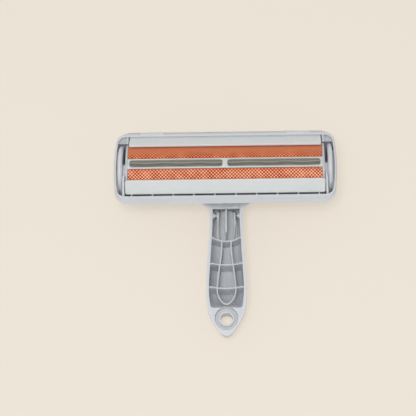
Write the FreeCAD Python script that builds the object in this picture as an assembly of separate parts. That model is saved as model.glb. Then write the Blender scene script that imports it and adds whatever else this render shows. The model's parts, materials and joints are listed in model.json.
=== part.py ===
import FreeCAD, Part
import math
import os

V = FreeCAD.Vector
os.makedirs("parts", exist_ok=True)

# A two-way lint roller that lies on its back, working face up.
# X runs along the drum, Y away from the handle, Z up. Shapes are drawn about the drum's axis
# and moved at the end, so that the back lid's flat lies on z = 0.

# Head shell
HEAD_LENGTH = 200.0
HEAD_WIDTH = 69.4
RIM_HEIGHT = 13.7
BACK_DEPTH = 35.2
SIDE_SLOPE = 23.0
END_SLOPE = 2.0
SHOULDER_DROP = 4.8
SIDE_LAND = 1.3
END_LAND = 1.0
SIDE_RIM = 6.1
END_RIM = 2.4
BACK_RADIUS = 10.0
CORNER_RADIUS = 12.5
RIM_CORNER_RADIUS = 9.0
OPENING_CORNER_RADIUS = 7.3
END_BOW_RADIUS = 200.0
WALL = 2.2
CORNER_WEB_DROP = 4.5
CORNER_WEB_THICKNESS = 1.6

# Drum
NAP_RADIUS = 24.5
NAP_THICKNESS = 1.2
DRUM_END_ROOM = 13.5
NAP_REACH = 72.0
NAP_CORNER = 2.2
TUBE_WALL = 2.0
DRUM_REST_TILT = 4.6
ROCK_HALF_RANGE = 18.0
BAR_WIDTH = 9.0
BAR_DEPTH = 4.8
SLOT_WIDTH = 5.7
SLOT_DIVIDER = 4.4
SLOT_END_WALL = 1.9
SLOT_END_RADIUS = 2.0
FIN_THICKNESS = 1.1
FIN_END_INSET = 2.2
BLADE_BASE = 1.1
FLANGE_THICKNESS = 1.7
FLANGE_RADIUS = 24.3
PIN_RADIUS = 2.0
PIN_LENGTH = 15.5
HUB_RADIUS = 5.0
HUB_LENGTH = 9.0
STOP_PEG_RADIUS = 1.5
STOP_PEG_OFFSET = 15.0
STOP_PEG_LENGTH = 4.6

# Bearing cheeks
CHEEK_RADIUS = 23.4
CHEEK_THICKNESS = 4.0
CHEEK_BOSS_RADIUS = 8.0
DRUM_END_GAP = 3.0
CHEEK_FOOT_WIDTH = 24.0
CHEEK_FOOT_DROP = 12.0
CHEEK_EDGE = 1.5

# Wiper plates and pads
PLATE_SLOPE = 38.0
PLATE_WIDTH = 12.8
PLATE_THICKNESS = 1.8
NEAR_PLATE_OVERHANG = 2.2
FAR_PLATE_INSET = 0.8
PLATE_CORNER = 1.8
PAD_MINIMUM = 0.7
PAD_REACH = 24.0
PAD_START = 2.0
BRACKET_STEP = 0.6
NEAR_BRACKET_GAP = 0.8
NEAR_BRACKET_WIDTH = 2.6
NEAR_BRACKET_TIP = 20.0
FAR_BRACKET_GAP = 1.2
FAR_BRACKET_WIDTH = 1.8

# Ribs between the near rim and its plate
GAP_RIB_PITCH = 18.5
GAP_RIB_END = 5.0
GAP_RIB_THICKNESS = 1.2

# Back lid and its hinge
HINGE_INSET = 1.9
HINGE_BARREL = 1.9
HINGE_DROP = 5.7
HINGE_PIN_RADIUS = 0.9
HINGE_END_ROOM = 34.0
HINGE_SPAN = 27.0
LUG_WIDTH = 2.2
KNUCKLE_RADIUS = 2.9
KNUCKLE_NOTCHES = ((1.2, 4.8), (8.6, 2.3))
NOTCH_REACH = 1.2
PARTING_NEAR_DROP = 40.7
LIP_DROP = 8.6
LIP_THICKNESS = 1.5
TONGUE_HALF_WIDTH = 13.0
TONGUE_THICKNESS = 1.6
TONGUE_RISE = 6.5

# Handle
HANDLE_REACH = 150.4
HANDLE_RIM_DROP = 7.75
HANDLE_TIP_DROP = 10.7
HANDLE_WALL = 2.6
NECK_HALF_WIDTH = 14.7
NECK_FILLET = 12.5
NECK_FILLET_LOW = 3.0
NECK_BAR_THICKNESS = 1.3
NECK_BAR_HEIGHT = 1.4
NECK_BAR_DROP = 20.6
GRIP_RIB_THICKNESS = 1.2
GRIP_RIB_PLACES = (62.6, 84.7, 106.6)
GRIP_RIB_BOW = 2.0
SCOOP_DIP = 4.6
SCOOP_EDGE_DROP = 1.0
HOLE_REACH = 135.2
HOLE_RADIUS = 5.5
COLLAR_RADIUS = 6.8
DISH_RADIUS = 10.4
DISH_DEPTH = 4.4
COLLAR_HEIGHT = 2.8

# Handle outline: distance from the axis, half-width
HANDLE_OUTLINE = [
    (18.0, NECK_HALF_WIDTH),
    (46.0, NECK_HALF_WIDTH),
    (70.0, 16.0),
    (0.71 * HANDLE_REACH, 18.2),
    (0.80 * HANDLE_REACH, 17.3),
    (0.875 * HANDLE_REACH, 15.2),
    (0.94 * HANDLE_REACH, 10.6),
    (HANDLE_REACH, 0.0),
]
# Handle back: distance from the axis, depth of the back, corner radius
HANDLE_BACK = [
    (16.0, 26.2, 6.0),
    (23.0, 26.8, 6.5),
    (30.0, 27.6, 7.0),
    (44.0, 29.2, 8.5),
    (58.0, 31.0, 10.0),
    (0.52 * HANDLE_REACH, 33.6, 11.0),
    (0.65 * HANDLE_REACH, BACK_DEPTH, 12.0),
    (0.78 * HANDLE_REACH, 31.6, 11.0),
    (0.87 * HANDLE_REACH, 22.0, 7.0),
    (0.95 * HANDLE_REACH, 17.6, 4.0),
    (1.03 * HANDLE_REACH, 16.0, 3.0),
]
# Where the pocket's floor meets the hole's dish
POCKET_END = HOLE_REACH - DISH_RADIUS + 0.6

# Release button
PIVOT_REACH = 38.6
PIVOT_DROP = 13.0
PIVOT_RADIUS = 1.2
PIVOT_BOSS = 1.3
PIVOT_BOSS_LENGTH = 1.8
PRESS_ANGLE = 7.0
PAD_FRONT = 29.0
PAD_REAR = 58.4
BUTTON_HALF_WIDTH = 6.8
BUTTON_BOW = 1.5
BUTTON_GAP = 0.4
PRESS_ROOM = 2.6
COLLAR_WALL = 1.2
BUTTON_SKIN = 2.0
COLLAR_RISE = 3.5
HOOK_HALF_WIDTH = 5.0
HOOK_ENGAGE = 0.9
HOOK_HEIGHT = 2.2
HOOK_TOP_DROP = 23.2
HOOK_SLOT_DROP = 1.6
BUTTON_SIDE_WALL = 1.4
SIDE_TOP_DROP = 11.0
RIB_THICKNESS = 1.5
RIB_TOP_DROP = 9.6
RIB_REAR = 55.0
SPRING_WIRE = 0.5
SPRING_PLAY = 0.25
SPRING_TURNS = 2
SPRING_STEPS = 12

# Clearances
RUNNING = 0.05
PRESSED = 0.01
PARTING_GAP = 0.3
SEAT_GAP = 0.1
NAP_GAP = 0.3

# Derived places
SIDE_TAN = math.tan(math.radians(SIDE_SLOPE))
SIDE_COS = math.cos(math.radians(SIDE_SLOPE))
END_TAN = math.tan(math.radians(END_SLOPE))
END_COS = math.cos(math.radians(END_SLOPE))
HALF_LENGTH = HEAD_LENGTH / 2
HALF_WIDTH = HEAD_WIDTH / 2
CORE_RADIUS = NAP_RADIUS - NAP_THICKNESS
OPENING_LENGTH = HEAD_LENGTH - 2 * END_RIM
OPENING_WIDTH = HEAD_WIDTH - 2 * SIDE_RIM
NAP_LENGTH = HEAD_LENGTH - 2 * DRUM_END_ROOM
NAP_HALF = NAP_LENGTH / 2
SLOT_LENGTH = NAP_HALF - SLOT_END_WALL - SLOT_DIVIDER / 2
NEAR_PLATE_LENGTH = NAP_LENGTH + 2 * NEAR_PLATE_OVERHANG
FAR_PLATE_LENGTH = NAP_LENGTH - 2 * FAR_PLATE_INSET
HINGE_CENTRE = HALF_LENGTH - HINGE_END_ROOM
SHOULDER_Z = RIM_HEIGHT - SHOULDER_DROP
FLANGE_FACE = NAP_HALF + FLANGE_THICKNESS
CHEEK_FACE = FLANGE_FACE + DRUM_END_GAP
CHEEK_BACK = CHEEK_FACE + CHEEK_THICKNESS
PLATE_UNDER = NAP_RADIUS + NAP_GAP + PAD_MINIMUM
PLATE_TOP = PLATE_UNDER + PLATE_THICKNESS
AXIS_Z = BACK_DEPTH
AXIS_Y = (HANDLE_REACH - HALF_WIDTH) / 2
FAR_AWAY = 300.0


def side_at(z, inset=0.0):
    """Half-width of the sloping head shell at height z, less an inset square to its wall."""
    return HALF_WIDTH - (SHOULDER_Z - z) * SIDE_TAN - inset / SIDE_COS


def end_at(z, inset=0.0):
    """Half-length of the head shell at height z, less an inset."""
    return HALF_LENGTH - (SHOULDER_Z - z) * END_TAN - inset / END_COS


HINGE_Y = HALF_WIDTH - HINGE_INSET
HINGE_Z = RIM_HEIGHT - HINGE_DROP
PARTING_Z = RIM_HEIGHT - PARTING_NEAR_DROP
PARTING_Y = -side_at(PARTING_Z)
POCKET_HALF = NECK_HALF_WIDTH - HANDLE_WALL
PIVOT_SPAN = POCKET_HALF - 0.4


def yz_prism(points, x0, x1):
    """Straight-sided section in the YZ plane, run from x0 to x1."""
    wire = Part.makePolygon([V(x0, y, z) for y, z in points + points[:1]])
    return Part.Face(wire).extrude(V(x1 - x0, 0, 0))


def block(x0, x1, y0, y1, z0, z1):
    return Part.makeBox(x1 - x0, y1 - y0, z1 - z0, V(x0, y0, z0))


def cylinder_x(radius, x0, x1, y=0.0, z=0.0):
    return Part.makeCylinder(radius, x1 - x0, V(x0, y, z), V(1, 0, 0))


def mirror_x(shape):
    return shape.mirror(V(0, 0, 0), V(1, 0, 0))


def bowed_outline(half_length, half_width, corner, bow, z):
    """Rounded rectangle whose two ends bow outwards, every arc tangent to the next."""
    bow_x = half_length - bow
    corner_y = half_width - corner
    corner_x = bow_x + math.sqrt((bow - corner) ** 2 - corner_y ** 2)
    turn = math.atan2(corner_y, corner_x - bow_x)
    middle = (turn + math.pi / 2) / 2
    meet = (bow_x + bow * math.cos(turn), bow * math.sin(turn))
    bend = (corner_x + corner * math.cos(middle), corner_y + corner * math.sin(middle))
    flat = (corner_x, half_width)

    def at(point, sx, sy):
        return V(sx * point[0], sy * point[1], z)

    edges = [
        Part.Arc(at(meet, 1, -1), V(half_length, 0, z), at(meet, 1, 1)).toShape(),
        Part.Arc(at(meet, 1, 1), at(bend, 1, 1), at(flat, 1, 1)).toShape(),
        Part.LineSegment(at(flat, 1, 1), at(flat, -1, 1)).toShape(),
        Part.Arc(at(flat, -1, 1), at(bend, -1, 1), at(meet, -1, 1)).toShape(),
        Part.Arc(at(meet, -1, 1), V(-half_length, 0, z), at(meet, -1, -1)).toShape(),
        Part.Arc(at(meet, -1, -1), at(bend, -1, -1), at(flat, -1, -1)).toShape(),
        Part.LineSegment(at(flat, -1, -1), at(flat, 1, -1)).toShape(),
        Part.Arc(at(flat, 1, -1), at(bend, 1, -1), at(meet, 1, -1)).toShape(),
    ]
    return Part.Wire(edges)


def edges_at(shape, z):
    """Edges that lie wholly in the plane at height z."""
    return [e for e in shape.Edges if abs(e.BoundBox.ZMin - z) < 1e-4 and abs(e.BoundBox.ZMax - z) < 1e-4]


def head_body(inset):
    """The head's full form: sloping sides, bowed ends, a bevelled shoulder and a round back."""
    z_back = inset - BACK_DEPTH
    z_top = RIM_HEIGHT - inset
    bevel = inset * math.tan(math.radians(22.5))
    land_y = OPENING_WIDTH / 2 + SIDE_LAND - bevel
    land_x = OPENING_LENGTH / 2 + END_LAND - bevel
    z_shoulder = SHOULDER_Z - bevel
    corner = CORNER_RADIUS - inset
    bow = END_BOW_RADIUS - inset
    wires = [bowed_outline(end_at(z_back, inset), side_at(z_back, inset), corner, bow, z_back),
             bowed_outline(end_at(z_shoulder, inset), side_at(z_shoulder, inset), corner, bow, z_shoulder),
             bowed_outline(land_x, land_y, RIM_CORNER_RADIUS - bevel, bow, z_top)]
    body = Part.makeLoft(wires, True, True)
    return body.makeFillet(BACK_RADIUS - inset, edges_at(body, z_back))


def parting_side(lift):
    """Everything under the slanting line where the lid meets the housing, lifted by a gap."""
    slope = (HINGE_Z - PARTING_Z) / (HINGE_Y - PARTING_Y)
    near_z = HINGE_Z - slope * (HINGE_Y + FAR_AWAY)
    points = [(HINGE_Y, HINGE_Z + lift), (-FAR_AWAY, near_z + lift), (-FAR_AWAY, -2 * FAR_AWAY),
              (FAR_AWAY, -2 * FAR_AWAY), (FAR_AWAY, HINGE_Z + lift)]
    return yz_prism(points, -FAR_AWAY, FAR_AWAY)


def plate_point(s, n, side):
    """A point by its distance s down a wiper plate and n out from the axis; side is 1 or -1."""
    slope = math.radians(PLATE_SLOPE)
    y = n * math.sin(slope) + s * math.cos(slope)
    z = n * math.cos(slope) - s * math.sin(slope)
    return (side * y, z)


def wiper_plate(length, side):
    corners = [(0, PLATE_UNDER), (PLATE_WIDTH, PLATE_UNDER), (PLATE_WIDTH, PLATE_TOP), (0, PLATE_TOP)]
    plate = yz_prism([plate_point(s, n, side) for s, n in corners], -length / 2, length / 2)
    short = [e for e in plate.Edges if abs(e.Length - PLATE_THICKNESS) < 1e-3]
    return plate.makeFillet(PLATE_CORNER, short)


def wiper_pad(length, side):
    """Nap pad glued under a plate, its pile following the drum."""
    corners = [(PAD_START, 0), (FAR_AWAY, 0), (FAR_AWAY, PLATE_UNDER), (PAD_START, PLATE_UNDER)]
    under = yz_prism([plate_point(s, n, side) for s, n in corners], -length / 2, length / 2)
    reach = math.radians(PLATE_SLOPE + PAD_REACH)
    sector = yz_prism([(0, 0), (0, FAR_AWAY), (side * FAR_AWAY * math.tan(reach), FAR_AWAY)],
                      -length / 2, length / 2)
    inner = cylinder_x(NAP_RADIUS + NAP_GAP, -length, length)
    return under.common(sector).cut(inner)


def ring_sector(r0, r1, a0, a1, x0, x1):
    """Part of a tube about the drum's axis, between two angles from the vertical."""
    def at(r, a):
        return V(x0, r * math.sin(math.radians(a)), r * math.cos(math.radians(a)))

    mid = (a0 + a1) / 2
    edges = [
        Part.Arc(at(r1, a0), at(r1, mid), at(r1, a1)).toShape(),
        Part.LineSegment(at(r1, a1), at(r0, a1)).toShape(),
        Part.Arc(at(r0, a1), at(r0, mid), at(r0, a0)).toShape(),
        Part.LineSegment(at(r0, a0), at(r1, a0)).toShape(),
    ]
    return Part.Face(Part.Wire(edges)).extrude(V(x1 - x0, 0, 0))


def nap_strip(side):
    start = math.degrees(math.asin((BAR_WIDTH / 2 + SEAT_GAP) / CORE_RADIUS))
    strip = ring_sector(CORE_RADIUS, NAP_RADIUS, side * start, side * NAP_REACH, -NAP_HALF, NAP_HALF)
    short = [e for e in strip.Edges if abs(e.Length - NAP_THICKNESS) < 1e-3]
    return strip.makeFillet(NAP_CORNER, short)


def slot_prism(x0, width, length, z0, z1, end_radius):
    box = block(x0, x0 + length, -width / 2, width / 2, z0, z1)
    upright = [e for e in box.Edges if abs(e.Length - (z1 - z0)) < 1e-3]
    return box.makeFillet(end_radius, upright)


def blade_bar():
    """Light bar with two long slots, sunk in the drum's channel."""
    floor = NAP_RADIUS - BAR_DEPTH
    bar = block(-NAP_HALF, NAP_HALF, -BAR_WIDTH / 2, BAR_WIDTH / 2, floor, NAP_RADIUS + 1)
    bar = bar.common(cylinder_x(NAP_RADIUS, -NAP_HALF, NAP_HALF))
    for x0 in (SLOT_DIVIDER / 2, -SLOT_DIVIDER / 2 - SLOT_LENGTH):
        bar = bar.cut(slot_prism(x0, SLOT_WIDTH, SLOT_LENGTH, floor - 1, NAP_RADIUS + 1, SLOT_END_RADIUS))
    return bar


def rubber_blade():
    """Rubber scraper in the right slot: a flat foot and one tapering fin."""
    floor = NAP_RADIUS - BAR_DEPTH
    x0 = SLOT_DIVIDER / 2 + SEAT_GAP
    length = SLOT_LENGTH - 2 * SEAT_GAP
    foot = slot_prism(x0, SLOT_WIDTH - 2 * SEAT_GAP, length, floor, floor + BLADE_BASE, SLOT_END_RADIUS)
    half = FIN_THICKNESS / 2
    fin = yz_prism([(-2 * half, floor), (2 * half, floor), (half, floor + 2 * BLADE_BASE),
                    (half * 0.6, NAP_RADIUS), (-half * 0.6, NAP_RADIUS), (-half, floor + 2 * BLADE_BASE)],
                   x0 + FIN_END_INSET, x0 + length - FIN_END_INSET)
    return foot.fuse(fin).removeSplitter()


def drum_body():
    """Tube with a channel for the bar along its top."""
    floor = NAP_RADIUS - BAR_DEPTH
    half = BAR_WIDTH / 2 + SEAT_GAP
    outer = cylinder_x(CORE_RADIUS, -NAP_HALF, NAP_HALF)
    tube = outer.cut(cylinder_x(CORE_RADIUS - TUBE_WALL, -NAP_LENGTH, NAP_LENGTH))
    trough = block(-NAP_HALF, NAP_HALF, -half - TUBE_WALL, half + TUBE_WALL, floor - TUBE_WALL, CORE_RADIUS)
    tube = tube.fuse(trough.common(outer))
    return tube.cut(block(-NAP_LENGTH, NAP_LENGTH, -half, half, floor, NAP_RADIUS)).removeSplitter()


def drum_end():
    """Right end flange with its hub, bored for the axle pin, and a stop peg."""
    flange = cylinder_x(FLANGE_RADIUS, NAP_HALF, FLANGE_FACE)
    hub = cylinder_x(HUB_RADIUS, NAP_HALF - HUB_LENGTH, NAP_HALF)
    ring = cylinder_x(CORE_RADIUS - TUBE_WALL - SEAT_GAP, NAP_HALF - 3 * FLANGE_THICKNESS, NAP_HALF)
    ring = ring.cut(cylinder_x(CORE_RADIUS - 2 * TUBE_WALL, 0, FAR_AWAY))
    half = BAR_WIDTH / 2 + TUBE_WALL + 2 * SEAT_GAP
    ring = ring.cut(block(0, FAR_AWAY, -half, half, 0, FAR_AWAY))
    peg = cylinder_x(STOP_PEG_RADIUS, NAP_HALF, FLANGE_FACE + STOP_PEG_LENGTH, 0, -STOP_PEG_OFFSET)
    end = flange.fuse([hub, ring, peg])
    return end.cut(cylinder_x(PIN_RADIUS + RUNNING, 0, FAR_AWAY))


def bearing_cheek():
    """Right end cap: half-round arch with a foot, a hub boss and the slot that stops the drum."""
    disc = cylinder_x(CHEEK_RADIUS, CHEEK_FACE, CHEEK_BACK)
    disc = disc.makeChamfer(CHEEK_EDGE, [e for e in disc.Edges if e.Length > 2 * CHEEK_RADIUS])
    disc = disc.cut(block(0, FAR_AWAY, -FAR_AWAY, FAR_AWAY, -FAR_AWAY, -CHEEK_THICKNESS))
    half = CHEEK_FOOT_WIDTH / 2
    foot_drop = max(CHEEK_FOOT_DROP, STOP_PEG_OFFSET + 2 * STOP_PEG_RADIUS)
    foot = block(CHEEK_FACE, CHEEK_BACK, -half, half, -foot_drop, 0)
    boss = cylinder_x(CHEEK_BOSS_RADIUS, FLANGE_FACE + PARTING_GAP, CHEEK_FACE)
    cheek = disc.fuse([foot, boss])
    room = STOP_PEG_RADIUS + PARTING_GAP
    spread = math.degrees(room / STOP_PEG_OFFSET)
    slot = ring_sector(STOP_PEG_OFFSET - room, STOP_PEG_OFFSET + room,
                       180 - ROCK_HALF_RANGE - spread, 180 + ROCK_HALF_RANGE + spread,
                       CHEEK_FACE - 1, FLANGE_FACE + STOP_PEG_LENGTH + PARTING_GAP)
    cheek = cheek.cut(slot)
    return cheek.cut(cylinder_x(PIN_RADIUS + PRESSED, 0, FAR_AWAY))


def step_value(table, reach):
    """Value at a distance from the drum's axis, by straight steps between a table's rows."""
    for (y0, v0), (y1, v1) in zip(table, table[1:]):
        if reach <= y1:
            return v0 + (v1 - v0) * max(0.0, reach - y0) / (y1 - y0)
    return table[-1][1]


def back_depth(reach):
    """Depth of the handle's back below the axis."""
    return step_value([(y, depth) for y, depth, radius in HANDLE_BACK], reach)


def back_corner(reach):
    return step_value([(y, radius) for y, depth, radius in HANDLE_BACK], reach)


def handle_outline_face(z):
    """Plan of the handle as one smooth curve round the tip, closed inside the head."""
    right = [V(w, -y, z) for y, w in HANDLE_OUTLINE[1:]]
    left = [V(-p.x, p.y, z) for p in reversed(right[:-1])]
    curve = Part.BSplineCurve()
    curve.interpolate(right + left, InitialTangent=V(0, -1, 0), FinalTangent=V(0, 1, 0))
    y0 = -HANDLE_OUTLINE[0][0]
    corners = [V(-NECK_HALF_WIDTH, right[0].y, z), V(-NECK_HALF_WIDTH, y0, z),
               V(NECK_HALF_WIDTH, y0, z), V(NECK_HALF_WIDTH, right[0].y, z)]
    edges = [curve.toShape()]
    edges += [Part.LineSegment(a, b).toShape() for a, b in zip(corners, corners[1:])]
    return Part.Face(Part.Wire(edges))


def rim_drop(reach):
    """Depth of the handle's rim below the axis."""
    share = max(0.0, reach - 0.7 * HANDLE_REACH) / (0.3 * HANDLE_REACH)
    return HANDLE_RIM_DROP + (HANDLE_TIP_DROP - HANDLE_RIM_DROP) * min(1.0, share) ** 2


def trough_section(reach, half_width, top, depth, radius):
    """One closed cross-section of the handle: flat top, round lower corners."""
    y = -reach
    half = radius * (1 - math.sqrt(0.5))
    low = V(half_width - radius, y, -depth)
    side = V(half_width, y, -depth + radius)
    bend = V(half_width - half, y, -depth + half)

    def flip(p):
        return V(-p.x, p.y, p.z)

    top_right = V(half_width, y, top)
    edges = [
        Part.LineSegment(top_right, side).toShape(),
        Part.Arc(side, bend, low).toShape(),
        Part.LineSegment(low, flip(low)).toShape(),
        Part.Arc(flip(low), flip(bend), flip(side)).toShape(),
        Part.LineSegment(flip(side), flip(top_right)).toShape(),
        Part.LineSegment(flip(top_right), top_right).toShape(),
    ]
    return Part.Wire(edges)


def handle_loft(inset, top, stations):
    wires = []
    for reach, depth, radius in stations:
        half = max(step_value(HANDLE_OUTLINE, reach), radius + 1.0) - inset
        wires.append(trough_section(reach, half, top, depth - inset, max(radius - inset, 1.0)))
    return Part.makeLoft(wires, True, False)


def handle_solid():
    """Outer form of the handle: its back is lofted, its plan cut to the outline, its rim curved."""
    outer = handle_loft(-0.01, 0.0, HANDLE_BACK)
    outer = outer.common(handle_outline_face(-2 * BACK_DEPTH).extrude(V(0, 0, 3 * BACK_DEPTH)))
    steps = [0.0, 0.7, 0.8, 0.9, 1.0, 1.1]
    points = [(-s * HANDLE_REACH, -rim_drop(s * HANDLE_REACH)) for s in steps]
    above = yz_prism(points + [(-1.1 * HANDLE_REACH, FAR_AWAY), (0, FAR_AWAY)], -FAR_AWAY, FAR_AWAY)
    return outer.cut(above)


def handle_pocket(wall, floor):
    """Hollow of the handle, from the head's wall to a floor that sweeps up before the hole."""
    end = POCKET_END
    stations = []
    for reach in [y for y, depth, radius in HANDLE_BACK if y < end - 20.0] + [end - 16.0]:
        stations.append((reach, back_depth(reach) - floor, back_corner(reach)))
    stations += [(end - 8.0, 26.0 - floor, 8.0), (end - 2.5, 17.0 - floor, 6.0),
                 (end + 1.5, 9.0 - floor, 5.0)]
    wires = []
    for reach, depth, radius in stations:
        half = step_value(HANDLE_OUTLINE, reach) - wall
        wires.append(trough_section(reach, half, 1.0, depth, max(radius - wall, 2.0)))
    return Part.makeLoft(wires, True, False)


def flare_wire(z, radius):
    """Plan of one neck fillet at height z: square inside the walls, hollow outside."""
    wall_y = -side_at(z)
    x0 = NECK_HALF_WIDTH - HANDLE_WALL / 2
    x1 = NECK_HALF_WIDTH + radius
    lean = radius * math.sqrt(0.5)
    start = V(x1, wall_y, z)
    end = V(NECK_HALF_WIDTH, wall_y - radius, z)
    bend = V(x1 - lean, wall_y - radius + lean, z)
    corners = [end, V(x0, wall_y - radius, z), V(x0, wall_y + WALL / 2, z), V(x1, wall_y + WALL / 2, z),
               start]
    edges = [Part.Arc(start, bend, end).toShape()]
    edges += [Part.LineSegment(a, b).toShape() for a, b in zip(corners, corners[1:])]
    return Part.Wire(edges)


def neck_flare():
    """Fillets where the neck runs into the head, fading towards the back."""
    z_low = -HANDLE_BACK[1][1] + HANDLE_BACK[1][2]
    wires = [flare_wire(-HANDLE_RIM_DROP, NECK_FILLET), flare_wire(z_low, NECK_FILLET_LOW)]
    web = Part.makeLoft(wires, True, True)
    return web.fuse(mirror_x(web))


def arc_radius(half_chord, rise):
    """Radius of the arc that rises by so much over half a chord."""
    return (half_chord ** 2 + rise ** 2) / (2 * rise)


def loop_face(outer, z):
    """Tapered U of the grip's long ribs: half-widths at three ribs, then a round end."""
    points = [(4.5, GRIP_RIB_PLACES[0] - 2.0), (5.9, GRIP_RIB_PLACES[1]), (8.1, GRIP_RIB_PLACES[2] - 2.0),
              (7.4, GRIP_RIB_PLACES[2] + 7.0)]
    tip = GRIP_RIB_PLACES[2] + 14.5
    grow = GRIP_RIB_THICKNESS / 2 * (1 if outer else -1)
    right = [V(w + grow, -y, z) for w, y in points]
    left = [V(-p.x, p.y, z) for p in reversed(right)]
    curve = Part.BSplineCurve()
    curve.interpolate(right + [V(0, -tip - grow, z)] + left)
    ends = Part.LineSegment(left[-1], right[0]).toShape()
    return Part.Face(Part.Wire([curve.toShape(), ends]))


def grip_ribs():
    """Cross ribs and the tapered U, scooped along their tops."""
    depth = V(0, 0, BACK_DEPTH)
    z0 = -BACK_DEPTH - HANDLE_RIM_DROP
    loop = loop_face(True, z0).extrude(2 * depth).cut(loop_face(False, z0).extrude(2 * depth))
    loop = loop.cut(block(-FAR_AWAY, FAR_AWAY, -GRIP_RIB_PLACES[0], FAR_AWAY, -FAR_AWAY, FAR_AWAY))
    half = GRIP_RIB_THICKNESS / 2
    bars = [block(-HALF_LENGTH, HALF_LENGTH, -y - half, -y + half, z0, z0 + 2 * BACK_DEPTH)
            for y in GRIP_RIB_PLACES[1:]]
    bow = arc_radius(POCKET_HALF, GRIP_RIB_BOW)
    middle = V(0, bow - GRIP_RIB_PLACES[0], z0)
    first = Part.makeCylinder(bow + half, 2 * BACK_DEPTH, middle)
    first = first.cut(Part.makeCylinder(bow - half, 2 * BACK_DEPTH, middle))
    first = first.cut(block(-FAR_AWAY, FAR_AWAY, GRIP_RIB_BOW + 1 - GRIP_RIB_PLACES[0] + half, FAR_AWAY,
                            -FAR_AWAY, FAR_AWAY))
    ribs = loop.fuse(bars + [first])
    radius = arc_radius(POCKET_HALF, SCOOP_DIP)
    centre_z = -HANDLE_RIM_DROP - SCOOP_EDGE_DROP - SCOOP_DIP + radius
    scoop = Part.makeCylinder(radius, FAR_AWAY, V(0, 0, centre_z), V(0, -1, 0))
    over = block(-FAR_AWAY, FAR_AWAY, -FAR_AWAY, 0, -HANDLE_RIM_DROP - SCOOP_EDGE_DROP, FAR_AWAY)
    ribs = ribs.cut(scoop).cut(over)
    return ribs.common(handle_pocket(HANDLE_WALL / 2, HANDLE_WALL / 2))


def button_outline(grow, rear, z0, z1):
    """Barrel-shaped plan of the release button, grown by a gap."""
    half = BUTTON_HALF_WIDTH + grow
    y0 = -PAD_FRONT + grow
    y1 = -rear
    mid = (y0 + y1) / 2
    corners = [V(half, y0, z0), V(half, y1, z0), V(-half, y1, z0), V(-half, y0, z0)]
    edges = [
        Part.Arc(corners[0], V(half + BUTTON_BOW, mid, z0), corners[1]).toShape(),
        Part.LineSegment(corners[1], corners[2]).toShape(),
        Part.Arc(corners[2], V(-half - BUTTON_BOW, mid, z0), corners[3]).toShape(),
        Part.LineSegment(corners[3], corners[0]).toShape(),
    ]
    return Part.Face(Part.Wire(edges)).extrude(V(0, 0, z1 - z0))


def pivot_bosses():
    """Round bosses on the neck's walls that carry the button's two trunnions."""
    x0 = POCKET_HALF - PIVOT_BOSS_LENGTH
    x1 = POCKET_HALF + HANDLE_WALL / 2
    right = cylinder_x(PIVOT_RADIUS + PIVOT_BOSS, x0, x1, -PIVOT_REACH, -PIVOT_DROP)
    return right.fuse(mirror_x(right))


def plan_prism(points):
    """Straight-sided plan, run through the whole height of the head."""
    wire = Part.makePolygon([V(x, y, -FAR_AWAY) for x, y in points + points[:1]])
    return Part.Face(wire).extrude(V(0, 0, 2 * FAR_AWAY))


def near_bracket():
    """Web that holds the near plate's right end: thin beside the drum, wide at the rim."""
    x0 = NEAR_PLATE_LENGTH / 2 + NEAR_BRACKET_GAP
    inner = NAP_RADIUS + 2 * NAP_GAP
    arch = ring_sector(inner, inner + NEAR_BRACKET_WIDTH, -NEAR_BRACKET_TIP, -PLATE_SLOPE - PAD_REACH,
                       x0 - 2, HALF_LENGTH)
    top = PLATE_TOP + BRACKET_STEP
    points = [plate_point(0.0, top, -1), plate_point(PLATE_WIDTH + 1.0, top, -1),
              (-HALF_WIDTH, RIM_HEIGHT - 0.9), (-HALF_WIDTH, -12.0), (-20.0, -12.0),
              plate_point(0.0, PLATE_UNDER - 1.0, -1)]
    web = yz_prism(points, x0 - 2, HALF_LENGTH).cut(cylinder_x(inner, 0, FAR_AWAY))
    tip_y = -inner * math.sin(math.radians(NEAR_BRACKET_TIP))
    plan = plan_prism([(x0 - NEAR_BRACKET_GAP / 2, tip_y), (x0 - NEAR_BRACKET_GAP / 2 + 1.0, tip_y),
                       (x0 + NEAR_BRACKET_WIDTH, -HALF_WIDTH), (x0, -HALF_WIDTH)])
    return web.fuse(arch).common(plan)


def far_bracket():
    """Web from the far rim down beside the far plate's right end."""
    x0 = FAR_PLATE_LENGTH / 2 + FAR_BRACKET_GAP
    top = PLATE_TOP + BRACKET_STEP
    points = [plate_point(0.0, top, 1), plate_point(PLATE_WIDTH + 1.0, top, 1),
              (HALF_WIDTH, RIM_HEIGHT - 0.9), (HALF_WIDTH, SHOULDER_Z), (20.0, SHOULDER_Z),
              plate_point(0.0, PLATE_UNDER - 1.0, 1)]
    web = yz_prism(points, x0, x0 + FAR_BRACKET_WIDTH)
    return web.cut(cylinder_x(NAP_RADIUS + 2 * NAP_GAP, 0, FAR_AWAY))


def corner_web():
    """Shallow floor behind the right far corner, clear of the drum and its cheek."""
    top = RIM_HEIGHT - CORNER_WEB_DROP
    web = block(FAR_PLATE_LENGTH / 2 + FAR_BRACKET_GAP, HALF_LENGTH, OPENING_WIDTH / 4, HALF_WIDTH,
                top - CORNER_WEB_THICKNESS, top)
    return web.cut(cylinder_x(NAP_RADIUS + 2 * NAP_GAP, 0, FAR_AWAY))


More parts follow.
